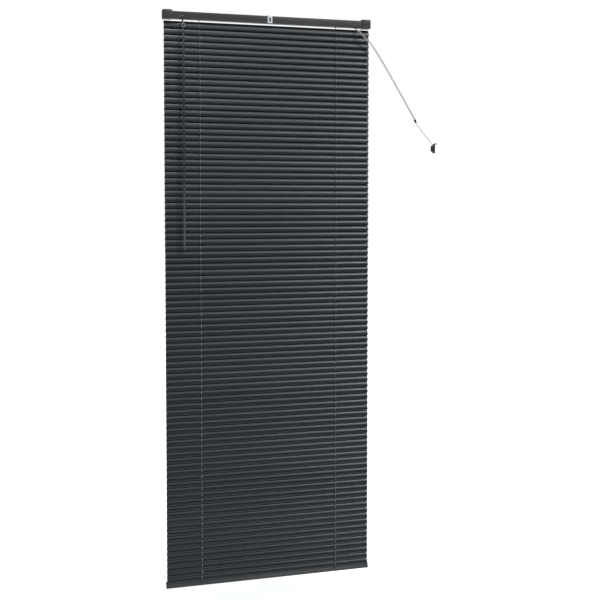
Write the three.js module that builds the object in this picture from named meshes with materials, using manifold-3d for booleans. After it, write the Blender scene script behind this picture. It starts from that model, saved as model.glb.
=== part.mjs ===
// A venetian blind with 25 mm slats, hung in front of a wall.
// Units are millimetres. +Z is up, +X runs along the slats and -Y points into the room.
// The origin is the middle of the centre bracket's back face, where it meets the wall.

import * as THREE from 'three';
import { mergeVertices } from 'three/addons/utils/BufferGeometryUtils.js';
import Module from 'manifold-3d';

const wasm = await Module();
wasm.setup();

// ---- driving dimensions ----
const SLAT_LENGTH = 750;
const SLAT_CHORD = 25;
const SLAT_CROWN = 2.2;
const SLAT_THICKNESS = 0.6;
const SLAT_TILT_DEG = 69;
const SLAT_PITCH = 21.25;
const PAIR_COUNT = 46;
const FIRST_SLAT_Z = -30.2;
const LADDER_X = [-250.5, 249];
const LADDER_STRING = 1.2;

const RAIL_SIZE = 25;
const RAIL_WALL = 1;
const RAIL_LENGTH = 752;
const RAIL_Y = -15.5;

const TILT_ROD_RADIUS = 3;
const DRUM_RADIUS = 7;
const DRUM_LENGTH = 12;

const BRACKET_WALL = 1.5;
const BRACKET_DEPTH = 30;
const BRACKET_HEIGHT = 31;
const BRACKET_WIDTH = 31;
const BRACKET_RAISE = 1.7;
const CLIP_WIDTH = 17;

const WAND_X = -312.5;
const HOOK_POINT = new THREE.Vector3(WAND_X, -46, -38);
const WORM_TOP = new THREE.Vector3(WAND_X, -21.5, -3);
const WAND_RADIUS = 3.75;
const WAND_TOP_Z = -42;
const WAND_BOTTOM_Z = -803;

const LOCK_X = 322;
const LOCK_Y = -24;
const CORD_DIAMETER = 2.4;
const STRAND_OFFSET = 3;
const JOINER = new THREE.Vector3(560, -22, -342);
const JOINER_LENGTH = 16;
const JOINER_RADIUS = 4;
const CLEAT = new THREE.Vector3(637, 0, -440);

const BOTTOM_RAIL_Z = -1981;
const BOTTOM_RAIL_CHORD = 24;
const BOTTOM_RAIL_THICKNESS = 8;

const CLEARANCE = 0.3;

// ---- finishes ----
const finish = (color, roughness, metalness) =>
  new THREE.MeshStandardMaterial({ color, roughness, metalness });
const slatPaint = finish(0x24282b, 0.35, 0.2);
const railPaint = finish(0x2c2c2c, 0.45, 0.2);
const zinc = finish(0xc9ccd0, 0.3, 1);
const darkPlastic = finish(0x1a1a1b, 0.5, 0);
const wandPlastic = finish(0x3a3a3c, 0.3, 0);
const paleCord = finish(0xb9b6ae, 0.9, 0);

// ---- helpers ----
const radians = THREE.MathUtils.degToRad;

// A closed three.js geometry becomes a manifold solid.
function toSolid(geometry) {
  const bare = geometry.clone();
  bare.deleteAttribute('normal');
  bare.deleteAttribute('uv');
  const merged = mergeVertices(bare, 1e-4);
  return new wasm.Manifold(new wasm.Mesh({
    numProp: 3,
    vertProperties: new Float32Array(merged.attributes.position.array),
    triVerts: new Uint32Array(merged.index.array),
  }));
}

function toGeometry(solid) {
  const mesh = solid.getMesh();
  const geometry = new THREE.BufferGeometry();
  geometry.setAttribute('position', new THREE.BufferAttribute(mesh.vertProperties, 3));
  geometry.setIndex(new THREE.BufferAttribute(mesh.triVerts, 1));
  return geometry;
}

const join = (first, ...others) =>
  toGeometry(others.reduce((sum, g) => sum.add(toSolid(g)), toSolid(first)));
const cut = (first, ...others) =>
  toGeometry(others.reduce((rest, g) => rest.subtract(toSolid(g)), toSolid(first)));

const box = (dx, dy, dz, x, y, z) => new THREE.BoxGeometry(dx, dy, dz).translate(x, y, z);

// A section in the YZ plane, given as [y, z] points, carried along X and centred on x = 0.
function alongX(points, length) {
  const shape = new THREE.Shape(points.map(([y, z]) => new THREE.Vector2(y, z)));
  return new THREE.ExtrudeGeometry(shape, { depth: length, bevelEnabled: false })
    .translate(0, 0, -length / 2)
    .applyMatrix4(new THREE.Matrix4().makeBasis(
      new THREE.Vector3(0, 1, 0), new THREE.Vector3(0, 0, 1), new THREE.Vector3(1, 0, 0)));
}

// A profile of [radius, distance] points turned about the line from start towards end.
function turned(profile, start, end, sides) {
  const direction = end.clone().sub(start).normalize();
  const turn = new THREE.Quaternion().setFromUnitVectors(new THREE.Vector3(0, 1, 0), direction);
  return new THREE.LatheGeometry(profile.map(([r, d]) => new THREE.Vector2(r, d)), sides)
    .applyQuaternion(turn)
    .translate(start.x, start.y, start.z);
}

const rod = (radius, start, end, sides) => {
  const length = start.distanceTo(end);
  return turned([[0, 0], [radius, 0], [radius, length], [0, length]], start, end, sides);
};

// A round cord of eight sides along a smooth curve through the points.
function cord(points, diameter, steps) {
  const corners = Array.from({ length: 8 }, (_, i) => new THREE.Vector2(
    Math.cos(i * Math.PI / 4) * diameter / 2, Math.sin(i * Math.PI / 4) * diameter / 2));
  return new THREE.ExtrudeGeometry(new THREE.Shape(corners), {
    steps, bevelEnabled: false, extrudePath: new THREE.CatmullRomCurve3(points),
  });
}

const blind = new THREE.Group();

function add(name, geometry, material, position = [0, 0, 0], tiltDeg = 0) {
  const mesh = new THREE.Mesh(geometry, material);
  mesh.name = name;
  mesh.position.set(...position);
  mesh.rotation.x = radians(tiltDeg);
  blind.add(mesh);
}

// ---- headrail: an upward-open steel channel with holes in its floor ----
function headrail() {
  const h = RAIL_SIZE / 2;
  const i = h - RAIL_WALL;
  const channel = alongX(
    [[-h, h], [-h, -h], [h, -h], [h, h], [i, h], [i, -i], [-i, -i], [-i, h]], RAIL_LENGTH);
  const holes = LADDER_X.map((x) => box(10, 14, 4, x, 0, -h));
  holes.push(box(14, 14, 24, WAND_X, -h, -h - 1));
  holes.push(box(16, 9, 4, LOCK_X, LOCK_Y - RAIL_Y, -h));
  return cut(channel, ...holes);
}
add('headrail', headrail(), railPaint, [0, RAIL_Y, 0]);

// ---- end brackets: five-sided steel boxes that the headrail's ends slide into ----
function endBracket(side) {
  const inner = RAIL_SIZE + 2 * CLEARANCE;
  const headroom = 3;
  const outer = box(BRACKET_WIDTH, BRACKET_DEPTH, BRACKET_HEIGHT, 0, 0, BRACKET_RAISE);
  const mouth = box(
    BRACKET_WIDTH, inner, inner + headroom, -side * BRACKET_WALL, 0, headroom / 2);
  const opening = box(BRACKET_WIDTH - 12, inner, BRACKET_HEIGHT, -side * 14, 0, -BRACKET_WALL * 6);
  return cut(outer, mouth, opening);
}
const bracketX = RAIL_LENGTH / 2 + CLEARANCE + BRACKET_WALL - BRACKET_WIDTH / 2;
add('end_bracket_left', endBracket(-1), railPaint, [-bracketX, RAIL_Y, 0]);
add('end_bracket_right', endBracket(1), railPaint, [bracketX, RAIL_Y, 0]);

// ---- centre bracket: a zinc clip over the headrail, with a slotted tongue in front ----
function centreBracket() {
  const back = 0;
  const top = RAIL_SIZE / 2 + CLEARANCE;
  const front = RAIL_Y - RAIL_SIZE / 2 - CLEARANCE;
  const low = -RAIL_SIZE / 2;
  const t = BRACKET_WALL;
  const plate = box(CLIP_WIDTH * 2, t, RAIL_SIZE + t, 0, back - t / 2, (top + t + low) / 2);
  const roof = box(CLIP_WIDTH, -front + t, t, 0, (back + front - t) / 2, top + t / 2);
  const tongue = box(CLIP_WIDTH, t, RAIL_SIZE + t, 0, front - t / 2, (top + t + low) / 2);
  const slot = box(6, 6, 14, 0, front - t / 2, -1);
  return cut(join(plate, roof, tongue), slot);
}
add('centre_bracket', centreBracket(), zinc);

// ---- tilt rod with its two ladder drums ----
function tiltRod() {
  const axis = (x) => new THREE.Vector3(x, 0, 0);
  const shaft = rod(TILT_ROD_RADIUS, axis(-335), axis(262), 6);
  const drums = LADDER_X.map((x) => rod(DRUM_RADIUS, axis(x - DRUM_LENGTH / 2),
    axis(x + DRUM_LENGTH / 2), 12));
  return join(shaft, ...drums);
}
add('tilt_rod', tiltRod(), zinc, [0, RAIL_Y, 0]);

// ---- tilter worm: a slanted stem that ends in the eye the wand hooks on ----
const wormLength = WORM_TOP.distanceTo(HOOK_POINT);
add('tilter_worm', turned([
  [0, 0], [2.2, 0], [2.2, 5], [3, 6], [3, 20], [2, 21], [2, wormLength - 3],
  [3, wormLength - 2], [3, wormLength], [0, wormLength]], WORM_TOP, HOOK_POINT, 8), darkPlastic);

// ---- wand: a six-sided rod hanging from the hook ----
const onWand = (z) => new THREE.Vector3(WAND_X, HOOK_POINT.y, z);
add('wand', turned([
  [0, 0], [2, 0], [2, 10], [WAND_RADIUS, 14], [WAND_RADIUS, WAND_TOP_Z - WAND_BOTTOM_Z - 4],
  [WAND_RADIUS - 1, WAND_TOP_Z - WAND_BOTTOM_Z], [0, WAND_TOP_Z - WAND_BOTTOM_Z]],
  onWand(WAND_TOP_Z), onWand(WAND_BOTTOM_Z), 6), wandPlastic);

// ---- cord lock: a body on the rail's floor with a neck through it ----
function cordLock() {
  const floor = -RAIL_SIZE / 2 + RAIL_WALL + CLEARANCE;
  const body = box(34, 13, 15, LOCK_X, RAIL_Y - 4, floor + 7.5);
  const neck = box(14, 7, 4, LOCK_X, LOCK_Y, floor - 2);
  return join(body, neck);
}
add('cord_lock', cordLock(), darkPlastic);

// ---- slats: each pair is joined by two short lengths of ladder string ----
// The section is a thin arc. Its edges lie on z = 0 and its middle rises by the crown.
function slatSection() {
  const segments = 3;
  const height = (u) => SLAT_CROWN * (1 - u * u);
  const stations = Array.from({ length: segments + 1 }, (_, i) => -1 + 2 * i / segments);
  const under = stations.map((u) => [u * SLAT_CHORD / 2, height(u) - SLAT_THICKNESS / 2]);
  const over = stations.map((u) => [u * SLAT_CHORD / 2, height(u) + SLAT_THICKNESS / 2]);
  return [...under, ...over.reverse()];
}

function slatPair() {
  const slat = (z) => alongX(slatSection(), SLAT_LENGTH)
    .rotateX(radians(SLAT_TILT_DEG)).translate(0, 0, z);
  const strings = LADDER_X.map((x) => box(LADDER_STRING, LADDER_STRING, SLAT_PITCH, x, 0, 4));
  return join(slat(SLAT_PITCH / 2), slat(-SLAT_PITCH / 2), ...strings);
}
const pairGeometry = slatPair();
for (let i = 0; i < PAIR_COUNT; i += 1) {
  const z = FIRST_SLAT_Z - SLAT_PITCH * (2 * i + 0.5);
  add(`slat_pair_${String(i + 1).padStart(2, '0')}`, pairGeometry, slatPaint, [0, RAIL_Y, z]);
}

// ---- bottom rail: a closed bar with rounded edges that leans with the slats ----
function bottomRail() {
  const half = BOTTOM_RAIL_CHORD / 2;
  const edge = BOTTOM_RAIL_THICKNESS / 2;
  return alongX([[-half, -1.5], [2 - half, -edge], [half - 2, -edge], [half, -1.5],
    [half, 1.5], [half - 2, edge], [2 - half, edge], [-half, 1.5]], SLAT_LENGTH);
}
add('bottom_rail', bottomRail(), railPaint, [0, RAIL_Y, BOTTOM_RAIL_Z], SLAT_TILT_DEG);

// ---- pull cords: two strands to a joiner, then one tail to the cleat ----
const CORD_FRONT_Y = -43;
function strandPoints(offset) {
  return [
    new THREE.Vector3(LOCK_X + offset, LOCK_Y, -16.6),
    new THREE.Vector3(LOCK_X + 2 + offset, -31, -21),
    new THREE.Vector3(LOCK_X + 9 + offset, -39, -28),
    new THREE.Vector3(LOCK_X + 24 + offset, CORD_FRONT_Y, -44),
    new THREE.Vector3(LOCK_X + 58 + offset * 0.9, CORD_FRONT_Y, -78),
    new THREE.Vector3(430 + offset * 0.8, -38, -146),
    new THREE.Vector3(498 + offset * 0.7, -30, -248),
    new THREE.Vector3(JOINER.x - 5 + offset * 0.6, JOINER.y - 0.6,
      JOINER.z + JOINER_LENGTH / 2 + CLEARANCE),
  ];
}
const STRAND_STEPS = 40;
add('pull_cord_left', cord(strandPoints(-STRAND_OFFSET), CORD_DIAMETER, STRAND_STEPS), paleCord);
add('pull_cord_right', cord(strandPoints(STRAND_OFFSET), CORD_DIAMETER, STRAND_STEPS), paleCord);

const joinerTop = JOINER.clone().add(new THREE.Vector3(-5, 0, JOINER_LENGTH / 2 - 0.6));
const joinerEnd = JOINER.clone().add(new THREE.Vector3(3, 0, -JOINER_LENGTH / 2));
add('cord_joiner', turned([[0, 0], [JOINER_RADIUS, 1], [JOINER_RADIUS, 9],
  [2, JOINER_LENGTH], [0, JOINER_LENGTH]], joinerTop, joinerEnd, 10), darkPlastic);

const CLEAT_TOP = CLEAT.clone().add(new THREE.Vector3(-6, -12, 17));
const tailStart = joinerEnd.clone().add(new THREE.Vector3(0.5, 0, -1.6));
add('tail_cord', cord([tailStart,
  tailStart.clone().lerp(CLEAT_TOP, 0.3).add(new THREE.Vector3(0, 0, -1.2)),
  tailStart.clone().lerp(CLEAT_TOP, 0.7).add(new THREE.Vector3(0, 0, -1.2)),
  CLEAT_TOP.clone().add(new THREE.Vector3(-1.5, 0, 2.5))], CORD_DIAMETER, 20), paleCord);

// ---- cleat: a foot on the wall, a post and two horns ----
function cleat() {
  const foot = box(12, 3, 22, CLEAT.x, -1.5, CLEAT.z);
  const post = box(8, 10, 10, CLEAT.x, -7, CLEAT.z);
  const horns = box(9, 5, 34, CLEAT.x, -13.5, CLEAT.z);
  return join(foot, post, horns);
}
add('cleat', cleat(), darkPlastic);

export default blind;
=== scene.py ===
# %% [markdown]
# # A venetian blind
# Thin enamelled slats hang in string ladders under a folded steel headrail. The frame in model.glb
# gives the mechanism, and this lesson dresses it: every new surface is worked out with numpy
# as a function of two parameters, and every finish is a small network of shader nodes.

import bmesh
import bpy
import numpy as np
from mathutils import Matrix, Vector


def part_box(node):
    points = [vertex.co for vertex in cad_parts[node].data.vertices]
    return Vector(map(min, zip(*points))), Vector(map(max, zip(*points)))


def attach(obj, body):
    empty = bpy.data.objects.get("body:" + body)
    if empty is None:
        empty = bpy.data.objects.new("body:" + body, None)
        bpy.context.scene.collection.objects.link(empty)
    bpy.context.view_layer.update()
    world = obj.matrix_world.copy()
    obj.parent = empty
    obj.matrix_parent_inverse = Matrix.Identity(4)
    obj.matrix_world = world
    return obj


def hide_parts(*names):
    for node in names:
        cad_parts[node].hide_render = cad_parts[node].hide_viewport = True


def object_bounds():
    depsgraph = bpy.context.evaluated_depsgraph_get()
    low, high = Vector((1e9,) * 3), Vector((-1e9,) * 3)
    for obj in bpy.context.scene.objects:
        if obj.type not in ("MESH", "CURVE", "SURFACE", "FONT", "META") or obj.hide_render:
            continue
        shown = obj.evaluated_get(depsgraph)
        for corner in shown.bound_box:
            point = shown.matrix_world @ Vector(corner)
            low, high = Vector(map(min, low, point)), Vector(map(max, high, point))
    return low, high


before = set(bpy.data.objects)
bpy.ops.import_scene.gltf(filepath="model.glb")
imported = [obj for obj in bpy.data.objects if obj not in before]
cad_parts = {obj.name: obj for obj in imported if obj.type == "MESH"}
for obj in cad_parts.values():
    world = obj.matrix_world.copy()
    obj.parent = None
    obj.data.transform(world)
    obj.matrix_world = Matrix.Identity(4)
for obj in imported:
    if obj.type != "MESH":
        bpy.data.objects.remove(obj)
cad_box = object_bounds()
MM = 0.001
slat_pairs = sorted(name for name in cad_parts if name.startswith("slat_pair_"))
rail_low, rail_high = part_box("headrail")
rail_y = (rail_low.y + rail_high.y) / 2
print("slat pairs:", len(slat_pairs), "box:", [round(v, 3) for v in (*cad_box[0], *cad_box[1])])

# %% [markdown]
# ## Where to stand
# A tall flat object is pictured best from a little above the middle of its height, with a long
# lens so that its sides stay nearly upright. All of the downward look could be lens shift, which
# keeps them exactly upright. Here most of it is a small pitch and the rest is shift, so that
# views from other sides still hold the whole blind.

# %% Camera
YAW_DEG = 17.9
PITCH_DOWN_DEG = 3.1
LENS_MM, SENSOR_MM, SHIFT_UP = 67.0, 36, -0.06
EYE = Vector((-1.1149, -3.8226, -0.6435))

camera_data = bpy.data.cameras.new("camera")
camera_data.lens = LENS_MM
camera_data.sensor_width = SENSOR_MM
camera_data.shift_y = SHIFT_UP
camera = bpy.data.objects.new("camera", camera_data)
camera.location = EYE
camera.rotation_euler = (np.radians(90 - PITCH_DOWN_DEG), 0, -np.radians(YAW_DEG))
bpy.context.collection.objects.link(camera)
bpy.context.scene.camera = camera
print("camera at", tuple(round(v, 3) for v in EYE), "lens", LENS_MM)

# %% [markdown]
# ## Soft studio light
# Satin black shows its shape only through what it reflects. Area lamps close by would light the
# top slats more than the bottom ones, so both lamps are suns: a fairly crisp key that shines down
# from the right, and a softer one from nearly overhead. Both shine from the room towards the wall.

# %% Lamps
def sun(name, direction, strength, soft_deg):
    """A sun that shines along the direction; soft_deg is how wide its disc looks."""
    data = bpy.data.lights.new(name, "SUN")
    data.energy = strength
    data.angle = np.radians(soft_deg)
    light = bpy.data.objects.new(name, data)
    light.rotation_euler = Vector(direction).to_track_quat("-Z", "Y").to_euler()
    bpy.context.collection.objects.link(light)


sun("key", (-0.5, 0.75, -0.62), strength=0.75, soft_deg=3)
sun("overhead", (-0.1, 0.5, -0.85), strength=0.8, soft_deg=12)
print("lamps:", len(bpy.data.lights))

# %% [markdown]
# ## The room
# The world stands for the room that the paint reflects: dark low down and bright high up, which
# shades a slat across its crown. The camera itself sees plain white instead, which a Light Path
# node chooses. The floor is one large pale sheet below the blind.

# %% World
WORLD_TINT = (0.93, 0.98, 1.0)
DARKEST, BRIGHTEST = (0.1, 0.04), (1.0, 0.9)
MIDDLE_STOP, UPPER_STOP = (0.32, (0.09, 0.1, 0.11, 1)), (0.6, (0.9, 0.96, 1.0, 1))

world = bpy.data.worlds.new("white_room")
world.use_nodes = True
world_links = world.node_tree.links
backdrop = world.node_tree.nodes["Background"]
backdrop.inputs["Color"].default_value = (1, 1, 1, 1)
soft_fill = world.node_tree.nodes.new("ShaderNodeBackground")
world_place = world.node_tree.nodes.new("ShaderNodeTexCoord")
world_height = world.node_tree.nodes.new("ShaderNodeSeparateXYZ")
fade = world.node_tree.nodes.new("ShaderNodeValToRGB")
for stop, (position, bright) in zip((0, 1), (DARKEST, BRIGHTEST)):
    fade.color_ramp.elements[stop].position = position
    fade.color_ramp.elements[stop].color = (*(bright * part for part in WORLD_TINT), 1)
for position, colour in (MIDDLE_STOP, UPPER_STOP):
    fade.color_ramp.elements.new(position).color = colour
ray = world.node_tree.nodes.new("ShaderNodeLightPath")
choose = world.node_tree.nodes.new("ShaderNodeMixShader")
world_links.new(world_place.outputs["Generated"], world_height.inputs[0])
world_links.new(world_height.outputs["Z"], fade.inputs["Fac"])
world_links.new(fade.outputs["Color"], soft_fill.inputs["Color"])
world_links.new(ray.outputs["Is Camera Ray"], choose.inputs["Fac"])
world_links.new(soft_fill.outputs["Background"], choose.inputs[1])
world_links.new(backdrop.outputs["Background"], choose.inputs[2])
world_links.new(choose.outputs["Shader"], world.node_tree.nodes["World Output"].inputs["Surface"])
bpy.context.scene.world = world
bpy.context.scene.view_settings.view_transform = "Standard"

print("world colour stops:", len(fade.color_ramp.elements))

# %% Floor
FLOOR_DROP, FLOOR_REACH = 0.12, 30.0
floor_z = cad_box[0].z - FLOOR_DROP
floor_mesh = bpy.data.meshes.new("floor")
floor_mesh.from_pydata([(x, y, floor_z) for x, y in (
    (-FLOOR_REACH, -FLOOR_REACH), (FLOOR_REACH, -FLOOR_REACH),
    (FLOOR_REACH, FLOOR_REACH), (-FLOOR_REACH, FLOOR_REACH))], [], [(0, 1, 2, 3)])
floor = bpy.data.objects.new("floor", floor_mesh)
bpy.context.collection.objects.link(floor)
print("floor height:", round(floor_z, 3))

# %% [markdown]
# ## Finishes
# What several finishes share is a node group: slow colour drift, fine surface grain, and the
# weave of a braid, whose grooves take a darker colour as painted shade. Each group puts out a
# colour and a normal, and the first a roughness too; the shader itself stays in the material. A
# picture of the weave could do the same, but worked out from numbers it stays sharp at any size.

# %% Node groups
WORN_BUMP_DEPTH, BRAID_BUMP_DEPTH = 0.0002, 0.0003


def new_group(name, inputs, outputs):
    """An empty group with these sockets, and its two end nodes."""
    group = bpy.data.node_groups.new(name, "ShaderNodeTree")
    for label, kind, value in inputs:
        socket = group.interface.new_socket(label, in_out="INPUT", socket_type=kind)
        socket.default_value = value
    for label, kind in outputs:
        group.interface.new_socket(label, in_out="OUTPUT", socket_type=kind)
    return group, group.nodes.new("NodeGroupInput"), group.nodes.new("NodeGroupOutput")


def noise_at(group, links, coordinates, scale_socket, detail):
    noise = group.nodes.new("ShaderNodeTexNoise")
    noise.inputs["Detail"].default_value = detail
    links.new(coordinates, noise.inputs["Vector"])
    links.new(scale_socket, noise.inputs["Scale"])
    return noise.outputs["Fac"]


def surface_group():
    """Colour and roughness drift with slow noise; height is fine noise. The stretch input
    scales the coordinates first, so a rolled or brushed metal can have long streaks."""
    colour, number, vector = "NodeSocketColor", "NodeSocketFloat", "NodeSocketVector"
    group, given, out = new_group("worn_surface", [
        ("Base", colour, (0.5, 0.5, 0.5, 1)), ("Drift", number, 0.15), ("Rough", number, 0.4),
        ("Rough Drift", number, 0.1), ("Broad Scale", number, 9.0), ("Grain Scale", number, 900.0),
        ("Grain Height", number, 0.05), ("Stretch", vector, (1, 1, 1))],
        [("Colour", colour), ("Roughness", number), ("Normal", vector)])
    links = group.links
    place = group.nodes.new("ShaderNodeTexCoord")
    stretch = group.nodes.new("ShaderNodeVectorMath")
    stretch.operation = "MULTIPLY"
    links.new(place.outputs["Object"], stretch.inputs[0])
    links.new(given.outputs["Stretch"], stretch.inputs[1])
    broad = noise_at(group, links, stretch.outputs[0], given.outputs["Broad Scale"], 4)
    grain = noise_at(group, links, stretch.outputs[0], given.outputs["Grain Scale"], 2)

    centred = group.nodes.new("ShaderNodeMath")
    centred.operation = "SUBTRACT"
    centred.inputs[1].default_value = 0.5
    links.new(broad, centred.inputs[0])

    def drifted(amount, base):
        step = group.nodes.new("ShaderNodeMath")
        step.operation = "MULTIPLY_ADD"
        links.new(centred.outputs[0], step.inputs[0])
        links.new(amount, step.inputs[1])
        if isinstance(base, float):
            step.inputs[2].default_value = base
        else:
            links.new(base, step.inputs[2])
        return step.outputs[0]

    tone = group.nodes.new("ShaderNodeVectorMath")
    tone.operation = "SCALE"
    links.new(given.outputs["Base"], tone.inputs[0])
    links.new(drifted(given.outputs["Drift"], 1.0), tone.inputs["Scale"])
    links.new(tone.outputs[0], out.inputs["Colour"])
    links.new(drifted(given.outputs["Rough Drift"], given.outputs["Rough"]),
              out.inputs["Roughness"])
    bump = group.nodes.new("ShaderNodeBump")
    bump.inputs["Distance"].default_value = WORN_BUMP_DEPTH
    links.new(given.outputs["Grain Height"], bump.inputs["Strength"])
    links.new(grain, bump.inputs["Height"])
    links.new(bump.outputs["Normal"], out.inputs["Normal"])
    return group


def braid_group():
    """Two sets of diagonal ridges crossing: sin(a + b) and sin(a - b) of the cord's own UV map,
    with u along the cord and v around it; the larger of the two is the strand on top. Colour
    follows the same height: strand tops keep the first colour and the grooves between strands
    take the second, darker one, painted shade."""
    colour, number, vector = "NodeSocketColor", "NodeSocketFloat", "NodeSocketVector"
    group, given, out = new_group("braid", [
        ("Light", colour, (0.6, 0.6, 0.56, 1)), ("Groove Shade", colour, (0.25, 0.24, 0.22, 1)),
        ("Height", number, 0.6)], [("Colour", colour), ("Normal", vector)])
    links = group.links
    chart = group.nodes.new("ShaderNodeUVMap")
    parts = group.nodes.new("ShaderNodeSeparateXYZ")
    links.new(chart.outputs["UV"], parts.inputs[0])

    def math(kind, first, second=None):
        node = group.nodes.new("ShaderNodeMath")
        node.operation = kind
        for socket, value in zip(node.inputs, (first, second)):
            if isinstance(value, float):
                socket.default_value = value
            elif value is not None:
                links.new(value, socket)
        return node.outputs[0]

    along = math("MULTIPLY", parts.outputs["X"], 2 * np.pi)
    around = math("MULTIPLY", parts.outputs["Y"], 4 * np.pi)
    ridges = math("MAXIMUM", math("SINE", math("ADD", along, around)),
                  math("SINE", math("SUBTRACT", along, around)))
    height = math("MULTIPLY_ADD", ridges, 0.5)
    # Painted shade: the colour goes from the strand colour on the ridges to the darker groove
    # colour in the hollows.
    mix = group.nodes.new("ShaderNodeMix")
    mix.data_type = "RGBA"
    links.new(height, mix.inputs["Factor"])
    links.new(given.outputs["Groove Shade"], mix.inputs["A"])
    links.new(given.outputs["Light"], mix.inputs["B"])
    links.new(mix.outputs["Result"], out.inputs["Colour"])
    bump = group.nodes.new("ShaderNodeBump")
    bump.inputs["Distance"].default_value = BRAID_BUMP_DEPTH
    links.new(given.outputs["Height"], bump.inputs["Strength"])
    links.new(height, bump.inputs["Height"])
    links.new(bump.outputs["Normal"], out.inputs["Normal"])
    return group


worn_surface = surface_group()
braid = braid_group()
print("node groups:", [group.name for group in bpy.data.node_groups])

# %% Materials
ROLLED = (0.06, 1, 1)
FLOOR_GLOW, BRAID_ROUGHNESS = 0.55, 0.85


def principled(name, metallic=0.0, coat=0.0, transmission=0.0):
    material = bpy.data.materials.new(name)
    material.use_nodes = True
    shader = material.node_tree.nodes["Principled BSDF"]
    shader.inputs["Metallic"].default_value = metallic
    shader.inputs["Coat Weight"].default_value = coat
    shader.inputs["Transmission Weight"].default_value = transmission
    return material, shader


def surfaced(name, colour, values, **kinds):
    """A material whose colour, roughness and grain come from the worn_surface group."""
    material, shader = principled(name, **kinds)
    node = material.node_tree.nodes.new("ShaderNodeGroup")
    node.node_tree = worn_surface
    node.inputs["Base"].default_value = (*colour, 1)
    for label, value in values.items():
        node.inputs[label].default_value = value
    links = material.node_tree.links
    links.new(node.outputs["Colour"], shader.inputs["Base Color"])
    links.new(node.outputs["Roughness"], shader.inputs["Roughness"])
    links.new(node.outputs["Normal"], shader.inputs["Normal"])
    return material


slat_paint = surfaced("slat_paint", (0.010, 0.0145, 0.018), {
    "Drift": 0.35, "Rough": 0.26, "Rough Drift": 0.12, "Broad Scale": 14.0,
    "Grain Height": 0.06, "Stretch": ROLLED}, coat=0.15)
rail_paint = surfaced("rail_paint", (0.036, 0.036, 0.037), {
    "Drift": 0.3, "Rough": 0.42, "Rough Drift": 0.15, "Grain Height": 0.12})
zinc = surfaced("zinc", (0.80, 0.81, 0.83), {
    "Drift": 0.25, "Rough": 0.38, "Rough Drift": 0.25, "Broad Scale": 60.0,
    "Grain Height": 0.1}, metallic=0.35)
black_plastic = surfaced("black_plastic", (0.016, 0.016, 0.017), {
    "Drift": 0.2, "Rough": 0.45, "Broad Scale": 40.0, "Grain Height": 0.2})
wand_plastic = surfaced("wand_plastic", (0.036, 0.036, 0.039), {
    "Drift": 0.2, "Rough": 0.22, "Broad Scale": 12.0, "Stretch": (1, 1, 0.1)}, coat=0.3)
clear_plastic = surfaced("clear_plastic", (0.9, 0.92, 0.93), {
    "Drift": 0.05, "Rough": 0.12, "Broad Scale": 80.0}, transmission=0.8)
floor_paint = surfaced("floor_paint", (0.88, 0.88, 0.87), {"Drift": 0.02, "Rough": 0.7,
                                                           "Broad Scale": 0.5})
floor_mesh.materials.append(floor_paint)
floor_nodes = floor_paint.node_tree
floor_ray = floor_nodes.nodes.new("ShaderNodeLightPath")
floor_glow = floor_nodes.nodes.new("ShaderNodeMath")
floor_glow.operation = "MULTIPLY"
floor_glow.inputs[1].default_value = FLOOR_GLOW
floor_nodes.links.new(floor_ray.outputs["Is Camera Ray"], floor_glow.inputs[0])
floor_shader = floor_nodes.nodes["Principled BSDF"]
floor_shader.inputs["Emission Color"].default_value = (1, 1, 1, 1)
floor_nodes.links.new(floor_glow.outputs[0], floor_shader.inputs["Emission Strength"])


def braided(name, light, dark):
    """A material whose colour and ridges come from the braid group; its second colour is painted
    shade in the grooves between strands.
    """
    material, shader = principled(name)
    node = material.node_tree.nodes.new("ShaderNodeGroup")
    node.node_tree = braid
    node.inputs["Light"].default_value = (*light, 1)
    node.inputs["Groove Shade"].default_value = (*dark, 1)
    shader.inputs["Roughness"].default_value = BRAID_ROUGHNESS
    material.node_tree.links.new(node.outputs["Colour"], shader.inputs["Base Color"])
    material.node_tree.links.new(node.outputs["Normal"], shader.inputs["Normal"])
    return material


pale_cord = braided("pale_cord", (0.50, 0.49, 0.46), (0.20, 0.19, 0.18))
# The ladder strings and the dashes on the slats are one grey string in two copies: the strings take
# a near-black colour, painted shade, and the dashes a pale one, painted light. In both the braid's
# second colour is painted shade in its grooves.
string_painted_shade = braided("string_painted_shade", (0.09, 0.09, 0.09), (0.03, 0.03, 0.03))
string_painted_lit = braided("string_painted_lit", (0.62, 0.64, 0.64), (0.3, 0.31, 0.31))
print("materials:", len(bpy.data.materials))

# %% [markdown]
# ## Turning arrays into pieces
# One helper puts points and faces into a mesh and says which body the piece moves with, which
# CAD nodes it stands for and which material it takes.

# %% Piece helpers
def make_piece(name, points, faces, material, body, replaces=(), uv=None):
    """A smooth-shaded piece on a body; uv gives one pair for each point."""
    mesh = bpy.data.meshes.new(name)
    mesh.from_pydata(np.asarray(points, float).tolist(), [], [list(map(int, f)) for f in faces])
    if uv is not None:
        layer = mesh.uv_layers.new(name="UVMap")
        corners = np.empty(len(mesh.loops), dtype=np.int32)
        mesh.loops.foreach_get("vertex_index", corners)
        layer.data.foreach_set("uv", np.asarray(uv, np.float32)[corners].ravel())
    mesh.materials.append(material)
    mesh.shade_smooth()
    piece = bpy.data.objects.new(name, mesh)
    bpy.context.collection.objects.link(piece)
    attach(piece, body)
    if replaces:
        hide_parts(*replaces)
    return piece


def grid_faces(rows, columns):
    """Quads of a grid whose point (r, c) has the index r * columns + c."""
    r = np.arange(rows - 1)[:, None]
    c = np.arange(columns - 1)[None, :]
    a = r * columns + c
    b = (r + 1) * columns + c
    return np.stack([a, a + 1, b + 1, b], -1).reshape(-1, 4)


def joined(shapes):
    """Several shapes as one: each one's corner numbers are raised by the points before it."""
    points, faces, start = [], [], 0
    for shape_points, shape_faces in shapes:
        points.append(shape_points)
        faces += [[int(corner) + start for corner in face] for face in shape_faces]
        start += len(shape_points)
    return np.vstack(points), faces
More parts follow.
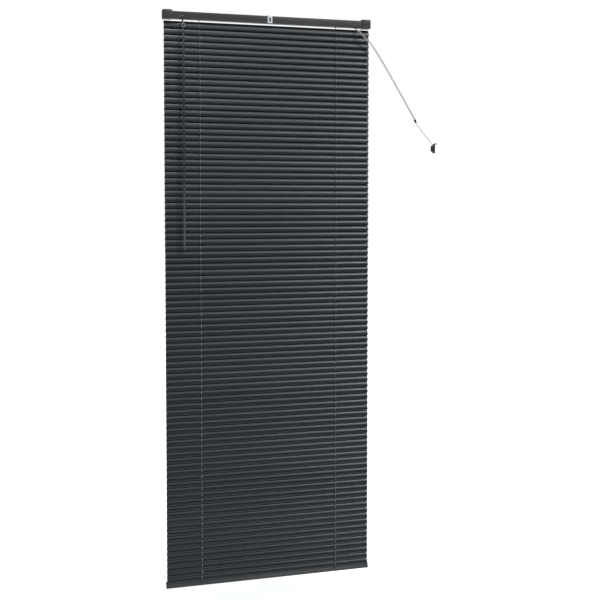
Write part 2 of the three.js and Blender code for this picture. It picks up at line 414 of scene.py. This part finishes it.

# %% [markdown]
# ## Cords
# The pull cord is a limp braid held taut: two strands leave the lock, meet in a joiner and go
# on as one to the cleat. Each is a circle carried along a smooth line through listed points,
# and its UV map counts braid stitches, so the weave follows the cord.

# %% Lines, tubes and the cord's route
def smooth_line(points, per_span=8):
    """Catmull-Rom: each span is the cubic whose end slopes are half the chord between the
    neighbouring points, so the line passes through every point."""
    p = np.asarray(points, float)
    p = np.vstack([2 * p[0] - p[1], p, 2 * p[-1] - p[-2]])
    t = np.linspace(0, 1, per_span, endpoint=False)[None, :, None]
    a, b, c, d = (p[i:len(p) - 3 + i][:, None] for i in range(4))
    line = 0.5 * (2 * b + (c - a) * t + (2 * a - 5 * b + 4 * c - d) * t ** 2
                  + (3 * b - a - 3 * c + d) * t ** 3)
    return np.vstack([line.reshape(-1, 3), p[-2]])


def tube(line, diameter, sides=10, stitch=0.0022):
    """Point (i, k) = line[i] + radius * (cos k * side + sin k * up), where side and up are
    square to the line. Both ends are closed by a fan round a middle point. The corners run so
    that the faces point inwards; reverse each list of corners to turn them out."""
    along = np.gradient(line, axis=0)
    along /= np.linalg.norm(along, axis=1)[:, None]
    side = np.cross(along, (0.3, 1, 0.1))
    side /= np.linalg.norm(side, axis=1)[:, None]
    up = np.cross(along, side)
    turn = np.linspace(0, 2 * np.pi, sides + 1)
    ring = np.cos(turn)[None, :, None] * side[:, None] + np.sin(turn)[None, :, None] * up[:, None]
    points = (line[:, None] + ring[:, :-1] * diameter / 2).reshape(-1, 3)
    n = len(line)
    k = np.arange(sides)
    i = np.arange(n - 1)[:, None]
    a, b = i * sides + k, i * sides + (k + 1) % sides
    faces = np.stack([a, a + sides, b + sides, b], -1).reshape(-1, 4).tolist()
    first, last = n * sides, n * sides + 1
    faces += [[first, j, (j + 1) % sides] for j in k]
    faces += [[last, (n - 1) * sides + (j + 1) % sides, (n - 1) * sides + j] for j in k]
    points = np.vstack([points, line[0], line[-1]])
    length = np.concatenate([[0], np.cumsum(np.linalg.norm(np.diff(line, axis=0), axis=1))])
    u = np.repeat(length / stitch, sides)
    v = np.tile(k / sides * 2, n)
    uv = np.stack([np.append(u, [0, length[-1] / stitch]), np.append(v, [0, 0])], -1)
    return points, faces, uv, float(length[-1])


CORD_DIAMETER = 2.4 * MM
JOINER = np.array((560, -22, -342.0))
CLEAT = np.array((637, 0, -440.0))
CLEAT_TOP = CLEAT + (-6, -12, 17)
TAIL_START = JOINER + (3.5, 0, -9.6)


def strand_points(offset):
    """One strand's route in millimetres; the offset moves it sideways, less and less."""
    return [(322 + offset, -24, -16.6), (324 + offset, -31, -21), (331 + offset, -39, -28),
            (346 + offset, -43, -44), (380 + offset * 0.9, -43, -78),
            (430 + offset * 0.8, -38, -146), (498 + offset * 0.7, -30, -248),
            (555 + offset * 0.6, -22.6, -333.7)]


tail_points = [TAIL_START, TAIL_START * 0.7 + CLEAT_TOP * 0.3 - (0, 0, 1.2),
               TAIL_START * 0.3 + CLEAT_TOP * 0.7 - (0, 0, 1.2), CLEAT_TOP + (-1.5, 0, 2.5)]


# %% [markdown]
# ## Rounded copies of the frame's own parts
# Some parts already have the right shape in the frame but knife-sharp edges. The frame's mesh
# is loose triangles, so a copy is merged and its flat faces joined before Bevel's own operator
# can run along the edges. It would be possible to model each again, but a copy keeps its size.

# %% Rounded copy
MERGE_DISTANCE, FLAT_DEG, EDGE_DEG, SHARP_DEG = 1e-6, 1, 25, 35


def rounded_copy(name, node, width_mm, material, body, segments=2):
    """The node's solid, merged, with its flat faces joined and its edges rounded."""
    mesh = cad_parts[node].data.copy()
    mesh.name = name
    mesh.materials.clear()
    mesh.materials.append(material)
    work = bmesh.new()
    work.from_mesh(mesh)
    bmesh.ops.remove_doubles(work, verts=work.verts, dist=MERGE_DISTANCE)
    bmesh.ops.dissolve_limit(work, angle_limit=np.radians(FLAT_DEG), verts=work.verts,
                             edges=work.edges)
    sharp = [e for e in work.edges if e.calc_face_angle(0) > np.radians(EDGE_DEG)]
    bmesh.ops.bevel(work, geom=sharp, offset=width_mm * MM, segments=segments, profile=0.5,
                    affect="EDGES", clamp_overlap=True)
    bmesh.ops.triangulate(work, faces=work.faces)
    work.to_mesh(mesh)
    work.free()
    mesh.shade_smooth()
    mesh.set_sharp_from_angle(angle=np.radians(SHARP_DEG))
    piece = bpy.data.objects.new(name, mesh)
    bpy.context.collection.objects.link(piece)
    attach(piece, body)
    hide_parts(node)
    return piece


# %% [markdown]
# ## Joiner and cleat
# A small bead joins the two strands, and a cleat holds the tail. The cleat's horn is a short
# tube along part of an ellipse.

# %% Joiner, cleat and horn
joiner = rounded_copy("joiner_bead", "cord_joiner", 0.5, black_plastic, "root")
cleat = rounded_copy("wall_cleat", "cleat", 1.6, black_plastic, "root", 3)

HORN_ROOT, HORN_REACH, HORN_RISE = CLEAT + (1.5, -13.5, 11), 5.5, 7
HORN_DIAMETER = 4.2 * MM
HORN_TURN, HORN_STEPS = 0.75 * np.pi, 12
horn_turn = np.linspace(0, HORN_TURN, HORN_STEPS)
horn_line = (HORN_ROOT + np.stack([HORN_REACH * (1 - np.cos(horn_turn)), 0 * horn_turn,
                                   HORN_RISE * np.sin(horn_turn)], -1)) * MM
horn, horn_faces, _, _ = tube(horn_line, HORN_DIAMETER)
make_piece("cleat_horn", horn, horn_faces, black_plastic, "root")
print("horn points:", len(horn))

# %% The three cords
for cord_name, node, route, end in (
        ("strand_left", "pull_cord_left", strand_points(-3), joiner),
        ("strand_right", "pull_cord_right", strand_points(3), joiner),
        ("tail", "tail_cord", tail_points, cleat)):
    cord_line = smooth_line(route) * MM
    cord, cord_faces, cord_uv, length = tube(cord_line, CORD_DIAMETER)
    piece = make_piece(cord_name, cord, cord_faces, pale_cord, "root", [node],
                       cord_uv)
    print(cord_name, "length", round(length, 3))

# %% [markdown]
# ## Slats
# A slat is a long strip of sprung aluminium, crowned across its width so that it stays stiff,
# with rounded corners. Its outline and crown are one function of two parameters, used twice for
# the two faces. Solidify could thicken one sheet instead, but the two faces and their rim are
# few enough to write out. A copy goes to each place, two to a body, and a dash of string lies
# across each slat's front where a ladder holds it.

# %% One slat
CHORD, CROWN, THICKNESS, TILT_DEG = 25 * MM, 2.2 * MM, 0.3 * MM, 69
CORNER = 2.5 * MM
slat_low, slat_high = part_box(slat_pairs[0])
next_low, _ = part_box(slat_pairs[1])
PITCH = (slat_low.z - next_low.z) / 2
SLAT_LENGTH = slat_high.x - slat_low.x
LADDER_X = (-0.2505, 0.249)


def slat_surface(across=9, ends=5):
    """s in -1..1 runs along the slat and w in -1..1 across it. Height = crown * (1 - w squared),
    and within a corner radius of each end the half width follows a quarter circle."""
    from_end = (1 - np.cos(np.linspace(0, np.pi / 2, ends))) * CORNER
    half = SLAT_LENGTH / 2
    x = np.concatenate([-half + from_end, [-half / 3, half / 3], (half - from_end)[::-1]])
    inset = np.clip(CORNER - (half - np.abs(x)), 0, CORNER)
    width = CHORD / 2 - CORNER + np.sqrt(CORNER ** 2 - inset ** 2)
    w = np.sin(np.linspace(-np.pi / 2, np.pi / 2, across))
    y = width[:, None] * w[None, :]
    z = CROWN * (1 - (y / (CHORD / 2)) ** 2)
    return np.stack([np.broadcast_to(x[:, None], y.shape), y, z], -1)


def closed_slat():
    """The surface moved up and down by half the thickness, with a rim of quads between."""
    middle = slat_surface()
    rows, columns = middle.shape[:2]
    lift = np.array((0, 0, THICKNESS / 2))
    points = np.vstack([(middle + lift).reshape(-1, 3), (middle - lift).reshape(-1, 3)])
    count = rows * columns
    top = grid_faces(rows, columns)[:, ::-1]
    under = grid_faces(rows, columns) + count
    index = np.arange(count).reshape(rows, columns)
    rim = np.concatenate([index[0, :-1], index[:-1, -1], index[-1, :0:-1], index[:0:-1, 0]])
    after = np.roll(rim, -1)
    side = np.stack([rim, after, after + count, rim + count], -1)
    return points, np.vstack([top, under, side])


def turn_x(points, degrees):
    """Points turned about the x axis: y and z mix by the angle's cosine and sine."""
    a = np.radians(degrees)
    spin = np.array([[1, 0, 0], [0, np.cos(a), -np.sin(a)], [0, np.sin(a), np.cos(a)]])
    return points @ spin.T


slat_points, slat_faces = closed_slat()
slat_points = turn_x(slat_points, TILT_DEG)
print("slat faces:", len(slat_faces))

# %% The ladder string where it lies on a slat
DASH_FROM, DASH_TO, DASH_ASIDE = -0.55, 0.3, 1.4 * MM
DASH_DIAMETER, DASH_LIFT = 1.1 * MM, 0.45 * MM


def dash(x):
    """A short tube that follows the crown: height = crown * (1 - w squared) + half the slat's
    thickness + a lift a little under the tube's radius, so that it sits into the paint."""
    w = np.linspace(DASH_FROM, DASH_TO, 6)
    line = np.stack([np.full_like(w, x + DASH_ASIDE), w * CHORD / 2,
                     CROWN * (1 - w ** 2) + THICKNESS / 2 + DASH_LIFT], -1)
    points, faces, _, _ = tube(line, DASH_DIAMETER, sides=6)
    return turn_x(points, TILT_DEG), faces


dashes = [dash(x) for x in LADDER_X]
print("faces in a dash:", len(dashes[0][1]))

# %% The pairs
for pair in slat_pairs:
    low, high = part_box(pair)
    centre_z = (low.z + high.z) / 2
    places = [(0, rail_y, centre_z + sign * PITCH / 2) for sign in (1, -1)]
    points, faces = joined((slat_points + spot, slat_faces) for spot in places)
    make_piece(pair.replace("slat_pair", "slats"), points, faces, slat_paint, pair,
               [pair])
    points, faces = joined((shape + spot, shape_faces) for spot in places
                           for shape, shape_faces in dashes)
    # The dashes take the pale string colour, painted light.
    make_piece(pair.replace("slat_pair", "rungs"), points, faces, string_painted_lit, pair)
print("pitch:", round(PITCH, 5), "length:", round(SLAT_LENGTH, 4))

# %% [markdown]
# ## Ladders
# Two string ladders carry the slats. Each has a string in front and one behind, at rest in line
# with the slats' edges. On a real blind rungs join them under each slat, and the strings move up
# at one side and down at the other as it tilts. Here the strings are one body with the headrail
# and stay still, and only the dashes made above tilt with their slats.

# %% Ladders
STRING, STRING_GAP = 1.1 * MM, 0.4 * MM
SPREAD_HEIGHT = 12 * MM
STRING_STEPS = 90
STRING_STITCH = 0.0016
half_depth = np.cos(np.radians(TILT_DEG)) * CHORD / 2
INTO_RAIL, INTO_BAR = 2 * MM, 4 * MM
ladder_top = rail_low.z + INTO_RAIL
ladder_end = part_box("bottom_rail")[1].z - INTO_BAR
for label, x in zip(("left", "right"), LADDER_X):
    for face_name, sign in (("front", -1), ("back", 1)):
        y = rail_y + sign * (half_depth + STRING_GAP + STRING / 2)
        steps = np.linspace(ladder_top, ladder_end, STRING_STEPS)
        spread = np.clip((ladder_top - steps) / SPREAD_HEIGHT, 0, 1)
        string_line = np.stack([np.full_like(steps, x), rail_y + (y - rail_y) * spread, steps],
                               -1)
        string, string_faces, string_uv, _ = tube(string_line, STRING, sides=6,
                                                  stitch=STRING_STITCH)
        # The strings take the near-black string colour, painted shade.
        make_piece(f"ladder_{label}_{face_name}", string, string_faces, string_painted_shade, "root",
                   uv=string_uv)
print("ladder strings hang from", round(ladder_top, 4), "to", round(ladder_end, 4))

# %% [markdown]
# ## Metalwork and mouldings
# The folded steel and moulded parts already have the right shape in the frame. A merged copy
# with rounded edges catches the light the way pressed metal and plastic do.

# %% Metalwork
for metal_name, node, width, material, body, slot in (
        ("rail_channel", "headrail", 0.3, rail_paint, "root", "rail_paint"),
        ("bracket_left", "end_bracket_left", 0.4, rail_paint, "root", "rail_paint"),
        ("bracket_right", "end_bracket_right", 0.4, rail_paint, "root", "rail_paint"),
        ("centre_clip", "centre_bracket", 0.4, zinc, "root", "zinc"),
        ("lock_body", "cord_lock", 0.8, black_plastic, "root", "dark_plastic"),
        ("rod_and_drums", "tilt_rod", 0.3, zinc, "tilt_rod", "zinc"),
        ("worm_stem", "tilter_worm", 0.2, black_plastic, "tilter_worm", "dark_plastic"),
        ("wand_rod", "wand", 0.5, wand_plastic, "wand", "wand_plastic"),
        ("bottom_bar", "bottom_rail", 0.8, rail_paint, "bottom_rail", "rail_paint")):
    rounded_copy(metal_name, node, width, material, body)
    print(metal_name, "rounded by", width, "mm")

# %% [markdown]
# ## The wand's hook
# A clear link joins the wand to the tilter's stem. It is an open loop of round wire, so it is a
# tube along most of an ellipse, in an upright plane that runs along the blind.

# %% Wand hook
HOOK_ACROSS, HOOK_UP, HOOK_RAISED, HOOK_WIRE = 4.6 * MM, 7 * MM, 5 * MM, 1.8 * MM
wand_low, wand_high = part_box("wand")
wand_x, wand_y = (wand_low.x + wand_high.x) / 2, (wand_low.y + wand_high.y) / 2
HOOK_FROM, HOOK_TO, HOOK_STEPS = -0.42 * np.pi, 1.42 * np.pi, 28
sweep = np.linspace(HOOK_FROM, HOOK_TO, HOOK_STEPS)
hook_line = np.stack([wand_x + HOOK_ACROSS * np.cos(sweep), np.full_like(sweep, wand_y),
                      wand_high.z + HOOK_RAISED + HOOK_UP * np.sin(sweep)], -1)
hook, hook_faces, hook_uv, _ = tube(hook_line, HOOK_WIRE)
make_piece("wand_hook", hook, hook_faces, clear_plastic, "wand", uv=hook_uv)
print("hook points:", len(hook))

# %% [markdown]
# ## Bottom rail caps
# Black caps close the bar's ends, and a small plug covers the knot where each ladder ends. A
# superellipsoid, a sphere pushed out towards a box, gives both their soft edges.

# %% Caps
def rounded_slab(half, power=5, rings=10, around=32):
    """A superellipsoid: each coordinate is half * sign * |cos or sin| ** (2 / power)."""
    def bent(value):
        return np.sign(value) * np.abs(value) ** (2 / power)
    lat = np.linspace(-np.pi / 2, np.pi / 2, rings + 1)[1:-1]
    lon = np.linspace(0, 2 * np.pi, around, endpoint=False)
    ring = np.stack([half[0] * bent(np.cos(lat))[:, None] * bent(np.cos(lon)),
                     half[1] * bent(np.cos(lat))[:, None] * bent(np.sin(lon)),
                     np.broadcast_to(half[2] * bent(np.sin(lat))[:, None],
                                     (len(lat), around))], -1)
    count = len(lat)
    i, k = np.arange(count - 1)[:, None], np.arange(around)
    a, b = i * around + k, i * around + (k + 1) % around
    faces = np.stack([a, b, b + around, a + around], -1).reshape(-1, 4).tolist()
    south, north = count * around, count * around + 1
    faces += [[south, (j + 1) % around, j] for j in k]
    last = (count - 1) * around
    faces += [[north, last + j, last + (j + 1) % around] for j in k]
    return np.vstack([ring.reshape(-1, 3), (0, 0, -half[2]), (0, 0, half[2])]), faces


bar_low, bar_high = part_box("bottom_rail")
bar_z = (bar_low.z + bar_high.z) / 2
CAP_HALF, PLUG_HALF = (3 * MM, 12.4 * MM, 4.4 * MM), (7 * MM, 5 * MM, 1.4 * MM)
PLUG_MOVE = (0, 2 * MM, 4.2 * MM)
cap, cap_faces = rounded_slab(CAP_HALF)
plug, plug_faces = rounded_slab(PLUG_HALF, power=3)
plug = plug + PLUG_MOVE
for label, x in (("left", bar_low.x), ("right", bar_high.x)):
    make_piece(f"bar_cap_{label}", turn_x(cap, TILT_DEG) + (x, rail_y, bar_z), cap_faces,
               black_plastic, "bottom_rail")
for label, x in zip(("left", "right"), LADDER_X):
    make_piece(f"ladder_plug_{label}", turn_x(plug, TILT_DEG) + (x, rail_y, bar_z), plug_faces,
               black_plastic, "bottom_rail")
